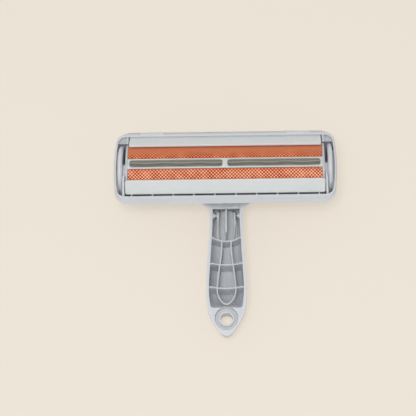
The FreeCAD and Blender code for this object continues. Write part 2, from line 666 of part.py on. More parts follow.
def gap_ribs():
    """Short ribs that carry the near plate off the rim, as many as its length holds."""
    half = GAP_RIB_THICKNESS / 2
    under = plate_point(PLATE_WIDTH - 2.0, PLATE_UNDER, -1)
    top = RIM_HEIGHT - 0.5
    points = [(-HALF_WIDTH, top), (plate_point(PLATE_WIDTH - 0.8, PLATE_TOP, -1)[0], top), (under[0], top),
              (under[0], 8.0), (-NAP_RADIUS - 2.0, 2.0), (-HALF_WIDTH, -4.0)]
    count = int((NEAR_PLATE_LENGTH - 2 * GAP_RIB_END) / GAP_RIB_PITCH) + 1
    places = [(index - (count - 1) / 2) * GAP_RIB_PITCH for index in range(count)]
    return [yz_prism(points, x - half, x + half) for x in places]


def hinge_places():
    """Middle of each lug of the lid hinge, with the lug's half-width."""
    offset = HINGE_SPAN / 2 - LUG_WIDTH / 2
    return [sx * HINGE_CENTRE + d for sx in (-1, 1) for d in (-offset, offset)]


def housing():
    """Head frame and handle in one moulding."""
    outer = head_body(0.0)
    hollow = head_body(WALL)
    middle = head_body(WALL / 2)
    opening = bowed_outline(OPENING_LENGTH / 2, OPENING_WIDTH / 2, OPENING_CORNER_RADIUS,
                            END_BOW_RADIUS, RIM_HEIGHT - 2 * WALL)
    opening = Part.Face(opening).extrude(V(0, 0, 4 * WALL))
    handle = handle_solid()
    body = outer.fuse([handle, neck_flare()])
    pocket = handle_pocket(HANDLE_WALL, HANDLE_WALL).cut(outer)
    body = body.cut([hollow, opening, pocket])

    webs = [near_bracket(), far_bracket(), corner_web()]
    seat = block(CHEEK_BACK, HALF_LENGTH, -CHEEK_FOOT_WIDTH / 2, 0, -8.0, 4.0)
    webs.append(seat)
    webs += [mirror_x(w) for w in webs]
    lip_y = side_at(HINGE_Z - 3.0, WALL) - PARTING_GAP
    lip_end = end_at(0, WALL + 3.0)
    webs.append(block(-lip_end, lip_end, lip_y - LIP_THICKNESS, lip_y,
                      RIM_HEIGHT - LIP_DROP, RIM_HEIGHT - WALL / 2))
    shelf_y = plate_point(PLATE_WIDTH - 1.4, PLATE_UNDER, 1)[0]
    webs.append(block(-FAR_PLATE_LENGTH / 2, FAR_PLATE_LENGTH / 2, shelf_y, lip_y,
                      RIM_HEIGHT - 3.6, RIM_HEIGHT - 1.4))
    webs += gap_ribs()
    plates = [wiper_plate(NEAR_PLATE_LENGTH, -1), wiper_plate(FAR_PLATE_LENGTH, 1)]
    webs = webs[0].fuse(webs[1:]).common(middle).cut(plates)

    collar = button_outline(BUTTON_GAP + COLLAR_WALL, PAD_REAR + PRESS_ROOM + COLLAR_WALL, -BACK_DEPTH,
                            -back_depth(PAD_FRONT) + COLLAR_RISE)
    bar_half = POCKET_HALF + HANDLE_WALL / 2
    bar_y = -PAD_FRONT + BUTTON_GAP
    bar = block(-bar_half, bar_half, bar_y, bar_y + NECK_BAR_THICKNESS, -NECK_BAR_DROP - NECK_BAR_HEIGHT,
                -NECK_BAR_DROP)
    inner = [collar.common(handle_pocket(HANDLE_WALL / 2, HANDLE_WALL / 2)), bar, pivot_bosses(), grip_ribs()]
    body = body.fuse([webs] + inner)

    body = body.cut(parting_side(PARTING_GAP))
    body = body.cut(cylinder_x(HINGE_BARREL + PARTING_GAP, -HEAD_LENGTH, HEAD_LENGTH, HINGE_Y, HINGE_Z))
    lugs = []
    for sx in (-1, 1):
        x0 = sx * HINGE_CENTRE - HINGE_SPAN / 2 + LUG_WIDTH
        x1 = sx * HINGE_CENTRE + HINGE_SPAN / 2 - LUG_WIDTH
        body = body.cut([block(x0, x1, lip_y + 0.4, HEAD_WIDTH, 0.0, RIM_HEIGHT + 1),
                         cylinder_x(KNUCKLE_RADIUS + PARTING_GAP, x0, x1, HINGE_Y, HINGE_Z)])
    for x in hinge_places():
        x0 = x - LUG_WIDTH / 2
        barrel = cylinder_x(HINGE_BARREL, x0, x0 + LUG_WIDTH, HINGE_Y, HINGE_Z)
        post = block(x0, x0 + LUG_WIDTH, HINGE_Y - HINGE_BARREL, HALF_WIDTH, HINGE_Z, RIM_HEIGHT - 1.0)
        lugs.append(barrel.fuse(post.common(outer)))
    body = body.fuse(lugs)
    body = body.cut(cylinder_x(HINGE_PIN_RADIUS + PRESSED, -HEAD_LENGTH, HEAD_LENGTH, HINGE_Y, HINGE_Z))

    body = body.cut(button_outline(BUTTON_GAP, PAD_REAR + PRESS_ROOM, -2 * BACK_DEPTH,
                                   -back_depth(PAD_FRONT) + COLLAR_RISE + 1.0))
    body = body.cut(cylinder_x(PIVOT_RADIUS + RUNNING, -PIVOT_SPAN, PIVOT_SPAN, -PIVOT_REACH, -PIVOT_DROP))
    half = HOOK_HALF_WIDTH + BUTTON_GAP
    body = body.cut(block(-half, half, -PAD_FRONT, -5.0, -BACK_DEPTH, -HOOK_TOP_DROP + 0.6))

    hole_z = V(0, -HOLE_REACH, -FAR_AWAY)
    rim = -rim_drop(HOLE_REACH)
    dish = Part.makeCylinder(DISH_RADIUS, FAR_AWAY, V(0, -HOLE_REACH, rim - DISH_DEPTH))
    collar = Part.makeCylinder(COLLAR_RADIUS, COLLAR_HEIGHT + WALL,
                               V(0, -HOLE_REACH, rim - DISH_DEPTH - WALL))
    body = body.cut(dish).fuse(collar).cut(Part.makeCylinder(HOLE_RADIUS, 2 * FAR_AWAY, hole_z))
    return body.removeSplitter()


def lid_knuckles():
    """Thicker knuckles between the housing's lugs, notched along their outer edge."""
    x0 = HINGE_CENTRE - HINGE_SPAN / 2 + LUG_WIDTH + PARTING_GAP
    x1 = HINGE_CENTRE + HINGE_SPAN / 2 - LUG_WIDTH - PARTING_GAP
    knuckle = cylinder_x(KNUCKLE_RADIUS, x0, x1, HINGE_Y, HINGE_Z).common(head_body(0.0))
    for start, length in KNUCKLE_NOTCHES:
        knuckle = knuckle.cut(block(x1 - start - length, x1 - start, HINGE_Y + NOTCH_REACH, HEAD_WIDTH,
                                    HINGE_Z + NOTCH_REACH / 2, RIM_HEIGHT))
    return [knuckle, mirror_x(knuckle)]


def back_lid():
    """Arched cover of the dust chamber, hinged along the far edge, with a catch tongue."""
    shell = head_body(0.0).cut(head_body(WALL)).common(parting_side(0.0))
    barrel_half = HALF_LENGTH - CORNER_RADIUS
    barrel = cylinder_x(HINGE_BARREL, -barrel_half, barrel_half, HINGE_Y, HINGE_Z)
    root = side_at(PARTING_Z - 0.4, WALL)
    top_z = PARTING_Z + TONGUE_RISE
    outer_low = -side_at(PARTING_Z, WALL) + PARTING_GAP
    outer_top = -side_at(top_z, WALL) + PARTING_GAP
    points = [(outer_top, top_z), (outer_low, PARTING_Z - 0.2), (-root - 0.8, PARTING_Z - 0.4),
              (-side_at(PARTING_Z - 4.0, WALL) - 0.8, PARTING_Z - 4.0),
              (-side_at(PARTING_Z - 4.0, WALL) + TONGUE_THICKNESS, PARTING_Z - 4.0),
              (outer_low + TONGUE_THICKNESS, PARTING_Z), (outer_top + TONGUE_THICKNESS, top_z)]
    tongue = yz_prism(points, -TONGUE_HALF_WIDTH, TONGUE_HALF_WIDTH)
    half = HOOK_HALF_WIDTH + BUTTON_GAP + 0.6
    window = block(-half, half, -HALF_WIDTH, -8.0, -HOOK_TOP_DROP - HOOK_HEIGHT - 2.0, -HOOK_TOP_DROP + 0.25)
    lid = shell.fuse([barrel, tongue.cut(window)] + lid_knuckles())
    for x in hinge_places():
        room = LUG_WIDTH / 2 + PARTING_GAP
        lid = lid.cut(cylinder_x(HINGE_BARREL + PARTING_GAP, x - room, x + room, HINGE_Y, HINGE_Z))
    lid = lid.cut(cylinder_x(HINGE_PIN_RADIUS + RUNNING, -HEAD_LENGTH, HEAD_LENGTH, HINGE_Y, HINGE_Z))
    slot_half = HOOK_HALF_WIDTH + BUTTON_GAP
    lid = lid.cut(block(-slot_half, slot_half, -HALF_WIDTH, -side_at(PARTING_Z, WALL),
                        PARTING_Z - HOOK_SLOT_DROP, PARTING_Z + WALL))
    return lid.removeSplitter()


def release_button():
    """Rocking thumb button: curved pad, two side walls, a middle rib, trunnions and a hook."""
    skin = handle_solid()
    inside = handle_loft(BUTTON_SKIN, 0.0, HANDLE_BACK)
    outline = button_outline(0.0, PAD_REAR, -2 * BACK_DEPTH, 0.0)
    pad = outline.common(skin).cut(inside)

    def on_pad(reach):
        return (-reach, BUTTON_SKIN / 2 - back_depth(reach))

    low = on_pad(PAD_FRONT)[1]
    size = PIVOT_RADIUS + PIVOT_BOSS
    profile = yz_prism([on_pad(PAD_FRONT + 0.4), on_pad(PAD_REAR), (-PAD_REAR, low + 3.0),
                        (-PIVOT_REACH - size, -SIDE_TOP_DROP), (-PIVOT_REACH + size, -SIDE_TOP_DROP),
                        (-PAD_FRONT - 0.4, low + 3.0)], -FAR_AWAY, FAR_AWAY)
    inner = button_outline(-BUTTON_SIDE_WALL, PAD_REAR + 1, -2 * BACK_DEPTH, 0.0)
    below = block(-FAR_AWAY, FAR_AWAY, -FAR_AWAY, FAR_AWAY, -FAR_AWAY, low - 1)
    sides = outline.common(profile).cut([inner, below])
    trunnion = cylinder_x(PIVOT_RADIUS, BUTTON_HALF_WIDTH, PIVOT_SPAN - SEAT_GAP, -PIVOT_REACH, -PIVOT_DROP)
    rib = yz_prism([on_pad(PAD_FRONT + 0.4), on_pad(RIB_REAR + 2.0), (-RIB_REAR, -RIB_TOP_DROP),
                    (-PAD_FRONT - 0.4, -RIB_TOP_DROP)], -RIB_THICKNESS / 2, RIB_THICKNESS / 2)
    face = -side_at(-HOOK_TOP_DROP - HOOK_HEIGHT / 2, WALL) + PARTING_GAP
    tip = face + HOOK_ENGAGE
    nose = yz_prism([(tip, -HOOK_TOP_DROP), (tip, -HOOK_TOP_DROP - 0.7 * HOOK_HEIGHT),
                     (tip - 2.0, -HOOK_TOP_DROP - HOOK_HEIGHT), (-PAD_FRONT + 2.5, low + 0.6),
                     (-PAD_FRONT + 1.0, low - 0.9), (-PAD_FRONT - 2.0, low - 0.9),
                     (-PAD_FRONT - 2.0, low + 1.6), (-PAD_FRONT + 3.0, -HOOK_TOP_DROP)],
                    -HOOK_HALF_WIDTH, HOOK_HALF_WIDTH)
    return pad.fuse([sides, trunnion, mirror_x(trunnion), rib, nose]).removeSplitter()


def button_spring():
    """Coil of the torsion spring round the right trunnion, six-sided in section."""
    start = BUTTON_HALF_WIDTH + BUTTON_BOW + SEAT_GAP + SPRING_WIRE / 2
    pitch = SPRING_WIRE + SEAT_GAP
    radius = PIVOT_RADIUS + SPRING_PLAY + SPRING_WIRE / 2
    sections = []
    for step in range(SPRING_STEPS * SPRING_TURNS + 1):
        turn = 2 * math.pi * step / SPRING_STEPS
        out = V(0, math.cos(turn), math.sin(turn))
        middle = V(start + pitch * step / SPRING_STEPS, -PIVOT_REACH, -PIVOT_DROP) + out * radius
        corners = []
        for side in range(7):
            angle = math.pi * side / 3
            corners.append(middle + (out * math.cos(angle) + V(math.sin(angle), 0, 0)) * (SPRING_WIRE / 2))
        sections.append(Part.makePolygon(corners))
    return Part.makeLoft(sections, True, True)


def drum_tilted(shape):
    """The drum rests a little rocked towards the handle."""
    turned = shape.copy()
    turned.rotate(V(0, 0, 0), V(1, 0, 0), DRUM_REST_TILT)
    return turned


def hinge_pin():
    x0 = HINGE_CENTRE - HINGE_SPAN / 2
    return cylinder_x(HINGE_PIN_RADIUS, x0, x0 + HINGE_SPAN, HINGE_Y, HINGE_Z)


def save(name, shape):
    moved = shape.copy()
    moved.translate(V(0, AXIS_Y, AXIS_Z))
    moved.exportStep("parts/" + name + ".step")


def save_pair(name, right):
    """A right-hand piece and its mirror image on the left."""
    save(name + "_right", right)
    save(name + "_left", mirror_x(right))


axle_pin = cylinder_x(PIN_RADIUS, CHEEK_BACK - PIN_LENGTH, CHEEK_BACK)
save("housing", housing())
save("back_lid", back_lid())
save("release_button", release_button())
save("button_spring", button_spring())
save("drum_body", drum_tilted(drum_body()))
save("blade_bar", drum_tilted(blade_bar()))
save_pair("rubber_blade", drum_tilted(rubber_blade()))
save_pair("drum_end", drum_tilted(drum_end()))
save("nap_strip_far", drum_tilted(nap_strip(1)))
save("nap_strip_near", drum_tilted(nap_strip(-1)))
save("wiper_plate_far", wiper_plate(FAR_PLATE_LENGTH, 1))
save("wiper_plate_near", wiper_plate(NEAR_PLATE_LENGTH, -1))
save("wiper_pad_far", wiper_pad(FAR_PLATE_LENGTH - 2, 1))
save("wiper_pad_near", wiper_pad(NEAR_PLATE_LENGTH - 4, -1))
save_pair("bearing_cheek", bearing_cheek())
save_pair("axle_pin", axle_pin)
save_pair("lid_hinge_pin", hinge_pin())
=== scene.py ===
import json
import math

import bmesh
import bpy
from mathutils import Matrix, Vector


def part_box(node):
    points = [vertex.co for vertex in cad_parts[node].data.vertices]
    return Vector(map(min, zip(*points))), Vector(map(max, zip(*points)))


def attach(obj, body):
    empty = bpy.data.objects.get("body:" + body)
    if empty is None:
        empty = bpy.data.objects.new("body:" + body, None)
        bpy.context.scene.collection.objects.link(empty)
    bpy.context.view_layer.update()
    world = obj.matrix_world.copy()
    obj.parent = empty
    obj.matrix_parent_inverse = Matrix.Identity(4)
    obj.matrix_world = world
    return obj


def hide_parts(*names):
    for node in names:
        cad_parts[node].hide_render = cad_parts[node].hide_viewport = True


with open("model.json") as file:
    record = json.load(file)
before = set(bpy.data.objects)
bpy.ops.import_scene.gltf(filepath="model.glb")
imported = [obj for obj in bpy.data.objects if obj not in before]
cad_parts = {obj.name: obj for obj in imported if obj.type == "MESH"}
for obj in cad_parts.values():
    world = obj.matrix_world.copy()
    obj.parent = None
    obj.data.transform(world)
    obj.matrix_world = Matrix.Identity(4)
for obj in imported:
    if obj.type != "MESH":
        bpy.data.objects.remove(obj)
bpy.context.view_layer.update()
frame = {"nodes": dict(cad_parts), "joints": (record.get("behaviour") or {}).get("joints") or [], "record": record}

MM = 0.001
nodes = frame["nodes"]

# The drum's axis, and its tilt at rest, half-way between the joint's limits. Places below are taken from
# that axis, and sizes are in millimetres.
drum_joint = next(joint for joint in frame["joints"] if joint["name"] == "drum_rock")
AXIS = Vector(drum_joint["pos_m"])
REST_TILT = -math.radians(sum(drum_joint["range_deg"]) / 2)

# Nap strips: each starts beside the bar and ends at an angle under its plate
NAP_RADIUS = 24.5
NAP_THICKNESS = 1.2
NAP_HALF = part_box("nap_strip_near")[1][0] / MM
BAR_HALF_WIDTH = 4.6
NAP_REACH = math.radians(72.0)
NAP_CORNER = 3.2
# The tufts' diamond lattice, and the hem where the fabric is pressed down along a strip's outline
TUFT_PITCH = 3.0
TUFT_HEIGHT = 0.5
HEM_WIDTH = 0.7
HEM_DROP = 1.1
NAP_COLUMNS = 620
NAP_ROWS = 100

# Rubber scrapers: each fills a slot of the bar, from its divider to its end wall
BAR_END_WALL = 1.9
RUBBER_START = 2.1
RUBBER_END = NAP_HALF - BAR_END_WALL
RUBBER_HALF_WIDTH = 3.25
RUBBER_CORNER = 2.4
# The lip along a scraper's outline, and the wall inside it
LIP_WIDTH = 0.4
LIP_RISE = 0.02
LIP_WALL = 0.35
# The ridge is a little wavy along the slot. Across the slot: place, height from the drum's axis
RIDGE_WAVE = 31.0
RIDGE_SWING = 0.35
RUBBER_PROFILE = ((-3.3, 23.5), (-2.2, 23.4), (-1.7, 22.2), (-0.7, 22.0), (-0.1, 22.6), (0.5, 24.0),
                  (1.2, 23.9), (1.9, 22.9), (3.3, 22.7))
# Heights where the rubber shows only its groove's colour, painted shade in the groove, and only its ridge's,
# painted light on the ridge; and the ridge's share on the lip
GROOVE_SHADE_HEIGHT = 21.9
RIDGE_LIGHT_HEIGHT = 24.1
LIP_LIGHT_SHARE = 0.35
# Steps of the mesh across a scraper and along it, with finer ones in its rounded ends, each a share of
# the length
RUBBER_ROWS = 44
RUBBER_END_STEPS = 17
RUBBER_END_STEP = 0.0028
RUBBER_MIDDLE_STEPS = 60

# Near plate's brackets, above the rim: an arch round the drum, and a top that steps up over the plate.
# BRACKET_TOP is the top's distance from the axis, and PLATE_REACH how far down the plate it goes.
PLATE_SLOPE = math.radians(38.0)
PLATE_REACH = 13.8
BRACKET_TOP = 28.0
ARCH_RADIUS = 25.1
ARCH_TIP = math.radians(28.0)
ARCH_FOOT = math.radians(63.0)
ARCH_STEPS = 8
ARCH_BASE = 11.6
# The outer corner of the arch's tip, as a share of the distance of its inner one
ARCH_NOSE = 1.04
# Distance from the axis, and the bracket's inner and outer faces there
ARCH_FACES = ((8.6, 89.15, 90.1), (34.7, 89.55, 92.05))
BRACKET_ROUND = 0.12

# Ledge on each cheek, in the slit beside the drum's near half
LEDGE_X = (88.55, 91.15)
LEDGE_RADII = (17.6, 19.0)
LEDGE_ANGLES = (math.radians(3.0), math.radians(75.0))
LEDGE_STEPS = 12
LEDGE_ROUND = 0.15

# Shelf behind each cheek, level with the floor of the head's corners: it follows the head's bowed end
SHELF_X = (95.25, 97.65)
SHELF_Y = (-25.0, 15.0)
SHELF_Z = (8.0, 9.2)
END_BOW_RADIUS = 200.0
SHELF_STEPS = 10
SHELF_ROUND = 0.1

# Deck across the neck, level with the handle's rim: a rib in line with the button's, and a recess to
# each side
DECK_HALF_WIDTH = 12.1
DECK_Y = (-33.5, -27.1)
DECK_TOP = -8.0
DECK_THICKNESS = 1.2
DECK_RIB_HALF = 0.75
DECK_RIB_RISE = 0.7
RECESS_X = (1.6, 6.3)
RECESS_Y = (-32.1, -29.7)
RECESS_DEPTH = 0.5
RECESS_DRAFT = 0.3
DECK_ROUND = 0.1

# Edges sharper than this are rounded on the small moulded forms
SHARP_ANGLE = math.radians(30.0)

# Moulded ABS: width of the flow marks from the gate, of the satin's clouds and of the spark-eroded grain.
# The real grain is about 0.1 mm wide, and is drawn coarser so that it shows. Light goes in by SKIN_DEPTH.
FLOW_MARK = 26.0
SATIN_CLOUD = 5.0
SPARK_GRAIN = 0.7
GRAIN_DEPTH = 0.03
SKIN_DEPTH = 5.0

# Woven nap: width of a ruffled patch, and of a thread. The real threads are about 0.15 mm thick, and are
# drawn coarser so that they show. PATCH_PUSH is how far a patch lifts or lowers the lattice's colours.
NAP_PATCH = 7.0
PATCH_PUSH = 0.12
NAP_THREAD = 0.5
THREAD_DEPTH = 0.2

# Soft rubber: width of a rubbed or dusty patch, and how far it shifts the colour between groove and ridge
RUBBER_PATCH = 7.0
PATCH_SHIFT = 0.12

# Drawn steel: width of a line left by the die, coarser than the real one so that it shows, and how much
# longer than wide it is
DRAWN_LINE = 0.2
LINE_STRETCH = 20.0

# Camera, from the photograph: pixels are in its 416 by 416 frame
PHOTO_SIZE = 416
FOCAL_PIXELS = 1400.0
CENTRE_X, CENTRE_Y = 248.23, 214.32
CAMERA_PLACE = Vector((30.63, -410.9, 1207.5)) * MM
CAMERA_TILT = math.radians(20.0)
CAMERA_YAW = math.radians(-0.49)
CAMERA_ROLL = math.radians(-0.74)
SENSOR = 36.0

# Light, in metres and watts: one round lamp on the handle's side, and an even dome
KEY_PLACE = Vector((-0.1, -0.45, 1.8))
KEY_SIZE = 0.6
KEY_POWER = 14.0
DOME_STRENGTH = 0.68

# Floor: its width in metres, and the share of its colour that the camera sees unlit
FLOOR_WIDTH = 12.0
FLOOR_UNLIT = 0.6


def linear(code):
    """sRGB hex to the linear colour that a shader takes."""
    parts = [int(code[i:i + 2], 16) / 255 for i in (1, 3, 5)]
    return [p / 12.92 if p <= 0.04045 else ((p + 0.055) / 1.055) ** 2.4 for p in parts] + [1.0]


def add(tree, kind, inputs=None, **settings):
    """Adds one node with its settings; an input is a value or the output that feeds it."""
    node = tree.nodes.new(kind)
    for name, value in settings.items():
        setattr(node, name, value)
    for name, value in (inputs or {}).items():
        if isinstance(value, bpy.types.NodeSocket):
            tree.links.new(value, node.inputs[name])
        else:
            node.inputs[name].default_value = value
    return node


def new_material(name, **constant):
    """A material with one Principled shader; constant values go straight onto its sockets."""
    material = bpy.data.materials.new(name)
    material.use_nodes = True
    tree = material.node_tree
    shader = tree.nodes["Principled BSDF"]
    for socket, value in constant.items():
        shader.inputs[socket.replace("_", " ")].default_value = value
    return material, tree, shader


def per_mm(size):
    """Noise scale whose features are about this many millimetres wide."""
    return 1.0 / (size * MM)


def moulded_abs(name, colour, shade, roughness):
    """Injection-moulded ABS: a satin skin whose spark-eroded grain breaks up the sheen a little.
    The pale resin lets light in by a few millimetres, so its slits and thin walls never go black."""
    material, tree, shader = new_material(name, IOR=1.53, Specular_IOR_Level=0.42, Subsurface_Weight=0.6,
                                          Subsurface_Radius=(1.0, 0.9, 1.0),
                                          Subsurface_Scale=SKIN_DEPTH * MM)
    place = add(tree, "ShaderNodeTexCoord").outputs["Object"]
    flow = add(tree, "ShaderNodeTexNoise", {"Vector": place, "Scale": per_mm(FLOW_MARK), "Detail": 3.0})
    tint = add(tree, "ShaderNodeMix", {"Factor": flow.outputs["Fac"], "A": linear(colour),
                                       "B": linear(shade)}, data_type="RGBA")
    tree.links.new(tint.outputs["Result"], shader.inputs["Base Color"])
    cloud = add(tree, "ShaderNodeTexNoise", {"Vector": place, "Scale": per_mm(SATIN_CLOUD), "Detail": 4.0})
    rough = add(tree, "ShaderNodeMapRange", {"Value": cloud.outputs["Fac"], "To Min": roughness - 0.06,
                                             "To Max": roughness + 0.06})
    tree.links.new(rough.outputs["Result"], shader.inputs["Roughness"])
    fine = add(tree, "ShaderNodeTexNoise", {"Vector": place, "Scale": per_mm(SPARK_GRAIN), "Detail": 2.0})
    bump = add(tree, "ShaderNodeBump", {"Height": fine.outputs["Fac"], "Strength": 0.12,
                                        "Distance": GRAIN_DEPTH * MM})
    tree.links.new(bump.outputs["Normal"], shader.inputs["Normal"])
    return material


def nap_fabric(name, deep, middle, tip, laid, laid_from, laid_to, laid_most):
    """Woven polyester nap: short pile in a diamond lattice, pale at the tips as painted highlight and deep red
    between as painted shade in the pile's hollows.
    Where the pile has been laid flat by the pads, the lattice closes up to one smooth colour: laid_from and
    laid_to are places across the strip, from 0 at the bar to 1 under the plate."""
    material, tree, shader = new_material(name, Roughness=0.86, Specular_IOR_Level=0.2, Sheen_Weight=0.15,
                                          Sheen_Roughness=0.45)
    place = add(tree, "ShaderNodeTexCoord").outputs["Object"]
    tuft = add(tree, "ShaderNodeAttribute", attribute_name="tuft")
    across = add(tree, "ShaderNodeAttribute", attribute_name="across")
    patch = add(tree, "ShaderNodeTexNoise", {"Vector": place, "Scale": per_mm(NAP_PATCH), "Detail": 3.0})
    push = add(tree, "ShaderNodeMapRange", {"Value": patch.outputs["Fac"], "From Min": 0.3, "From Max": 0.7,
                                            "To Min": -PATCH_PUSH, "To Max": PATCH_PUSH})
    height = add(tree, "ShaderNodeMath", {0: tuft.outputs["Fac"], 1: push.outputs["Result"]},
                 operation="ADD")
    # Ramp by tuft height: its deep colour between the tufts is painted shade, its tip colour painted highlight.
    ramp = add(tree, "ShaderNodeValToRGB", {"Fac": height.outputs["Value"]})
    stops = ramp.color_ramp.elements
    stops[0].color = linear(deep)
    stops[0].position = 0.25
    stops[1].color = linear(tip)
    stops[1].position = 0.75
    stops.new(0.5).color = linear(middle)
    share = add(tree, "ShaderNodeMapRange", {"Value": across.outputs["Fac"], "From Min": laid_from,
                                             "From Max": laid_to, "To Max": laid_most})
    tint = add(tree, "ShaderNodeMix", {"Factor": share.outputs["Result"], "A": ramp.outputs["Color"],
                                       "B": linear(laid)}, data_type="RGBA")
    tree.links.new(tint.outputs["Result"], shader.inputs["Base Color"])
    thread = add(tree, "ShaderNodeTexNoise", {"Vector": place, "Scale": per_mm(NAP_THREAD), "Detail": 2.0})
    bump = add(tree, "ShaderNodeBump", {"Height": thread.outputs["Fac"], "Strength": 0.5,
                                        "Distance": THREAD_DEPTH * MM})
    tree.links.new(bump.outputs["Normal"], shader.inputs["Normal"])
    return material


def soft_rubber(name, groove, ridge):
    """Moulded thermoplastic rubber: dull, with painted light on its ridge and painted shade in its groove, by
    height; rubbed and dusty patches shift between the two at random.
    """
    material, tree, shader = new_material(name, Roughness=0.62, IOR=1.5, Specular_IOR_Level=0.35)
    place = add(tree, "ShaderNodeTexCoord").outputs["Object"]
    rise = add(tree, "ShaderNodeAttribute", attribute_name="rise")
    cloud = add(tree, "ShaderNodeTexNoise", {"Vector": place, "Scale": per_mm(RUBBER_PATCH), "Detail": 5.0})
    worn = add(tree, "ShaderNodeMapRange", {"Value": cloud.outputs["Fac"], "From Min": 0.3, "From Max": 0.7,
                                            "To Min": -PATCH_SHIFT, "To Max": PATCH_SHIFT})
    share = add(tree, "ShaderNodeMath", {0: rise.outputs["Fac"], 1: worn.outputs["Result"]}, operation="ADD",
                use_clamp=True)
    tint = add(tree, "ShaderNodeMix", {"Factor": share.outputs["Value"], "A": linear(groove),
                                       "B": linear(ridge)}, data_type="RGBA")
    tree.links.new(tint.outputs["Result"], shader.inputs["Base Color"])
    return material


def drawn_steel(name):
    """Drawn steel wire and pin: bright, with fine lines along its length."""
    material, tree, shader = new_material(name, Base_Color=linear("#B9BABC"), Metallic=1.0)
    place = add(tree, "ShaderNodeTexCoord").outputs["Object"]
    stretch = add(tree, "ShaderNodeMapping", {"Vector": place, "Scale": (1.0 / LINE_STRETCH, 1.0, 1.0)})
    lines = add(tree, "ShaderNodeTexNoise", {"Vector": stretch.outputs["Vector"],
                                             "Scale": per_mm(DRAWN_LINE)})
    rough = add(tree, "ShaderNodeMapRange", {"Value": lines.outputs["Fac"], "To Min": 0.22, "To Max": 0.42})
    tree.links.new(rough.outputs["Result"], shader.inputs["Roughness"])
    return material


SHELL = moulded_abs("moulded_abs_shell", "#D2D4D6", "#CBCED1", 0.42)
PLATE = moulded_abs("moulded_abs_plate", "#DDE0DF", "#D7DBDB", 0.36)
BAR = moulded_abs("moulded_abs_bar", "#D2D6D4", "#CBD0CE", 0.4)
DRUM = moulded_abs("moulded_abs_drum", "#C6C8CA", "#C0C2C5", 0.5)
# The far strip's pile is laid flat towards its plate, and the near strip's only right beside the bar
NAP_FAR = nap_fabric("woven_nap_far", "#8A2614", "#C4623C", "#EA9866", "#CB7650", 0.02, 0.36, 0.95)
# The near strip's lattice colours are lighter than the far strip's: painted light, as the lamp falls more squarely
# on the near strip.
NAP_NEAR = nap_fabric("woven_nap_near", "#9E381E", "#D27048", "#FFC49E", "#C0502F", 0.12, -0.04, 0.8)
# The pads under the plates have no lattice, so they show only the deep colour, set darker still as painted shade
# for the shadow under the plates' edges
PAD_NAP = nap_fabric("woven_nap_pad", "#6E2A1C", "#7E3325", "#8A3A2A", "#7E3325", 0.0, 1.0, 0.5)
# The groove's darker colour is painted shade, the ridge's paler one painted light.
RUBBER = soft_rubber("moulded_soft_rubber", "#74736C", "#9A968C")
STEEL = drawn_steel("drawn_steel")

# Finish of each material slot
FINISHES = {
    "shell": SHELL, "button": SHELL, "plate": PLATE, "bar": BAR, "drum": DRUM, "nap": NAP_NEAR,
    "wiper_nap": PAD_NAP, "scraper": RUBBER, "pin": STEEL, "spring": STEEL,
}


def finish_cad_nodes():
    """Every CAD node gets the finish of its own slot."""
    for row in frame["record"]["subparts"]:
        mesh = nodes[row["node"]].data
        mesh.materials.clear()
        mesh.materials.append(FINISHES[row["material_slot"]])


def new_piece(name, mesh, material, body, replaced):
    """Puts a mesh in the scene as a piece that rides on a body, in place of the nodes that it replaces."""
    piece = bpy.data.objects.new(name, mesh)
    bpy.context.scene.collection.objects.link(piece)
    mesh.materials.append(material)
    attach(piece, body)
    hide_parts(*replaced)
    return piece


def row_mesh(name, verts, wide, turned, values):
    """Smooth mesh over rows of points, wide points to a row, with named values on its points."""
    starts = [row + column for row in range(0, len(verts) - wide, wide) for column in range(wide - 1)]
    faces = [(a, a + 1, a + 1 + wide, a + wide) for a in starts]
    if turned:
        faces = [face[::-1] for face in faces]
    mesh = bpy.data.meshes.new(name)
    mesh.from_pydata(verts, [], faces)
    for title, numbers in values.items():
        mesh.attributes.new(title, "FLOAT", "POINT").data.foreach_set("value", numbers)
    mesh.shade_smooth()
    return mesh


def drum_place(x, radius, angle):
    """A point on the drum by its place along the axis, its radius and its angle from the bar's middle."""
    turned = angle - REST_TILT
    return AXIS + Vector((x, radius * math.sin(turned), radius * math.cos(turned))) * MM


def tuft_height(x, s):
    """Diamond lattice of tufts, 0 between them and 1 at their tips."""
    wave = math.cos(2 * math.pi * x / TUFT_PITCH) * math.cos(2 * math.pi * s / TUFT_PITCH)
    return 0.5 + 0.5 * wave


def corner_pull(short, corner):
    """How far a rounded corner draws an end in, by how far short of square its row starts."""
    return corner - math.sqrt(max(0.0, corner ** 2 - max(0.0, short) ** 2))


def nap_strip(name, side, material, replaced):
    """Curved strip of nap whose tufts are modelled, with rounded corners and edges down to the drum."""
    start = math.asin(BAR_HALF_WIDTH / (NAP_RADIUS - NAP_THICKNESS))
    span = NAP_RADIUS * (NAP_REACH - start)
    verts, tufts, across = [], [], []
    for row in range(NAP_ROWS + 1):
        s = span * row / NAP_ROWS
        half = NAP_HALF - corner_pull(NAP_CORNER - min(s, span - s), NAP_CORNER)
        for column in range(NAP_COLUMNS + 1):
            x = half * (2 * column / NAP_COLUMNS - 1)
            raised = min(1.0, min(half - abs(x), s, span - s) / HEM_WIDTH)
            height = tuft_height(x, NAP_RADIUS * start + s)
            radius = NAP_RADIUS - HEM_DROP * (1 - raised) ** 2 - TUFT_HEIGHT * (1 - height) * raised
            verts.append(drum_place(x, radius, side * (start + s / NAP_RADIUS)))
            tufts.append(height)
            across.append(row / NAP_ROWS)
    mesh = row_mesh(name, verts, NAP_COLUMNS + 1, side > 0, {"tuft": tufts, "across": across})
    return new_piece(name, mesh, material, "drum", [replaced])


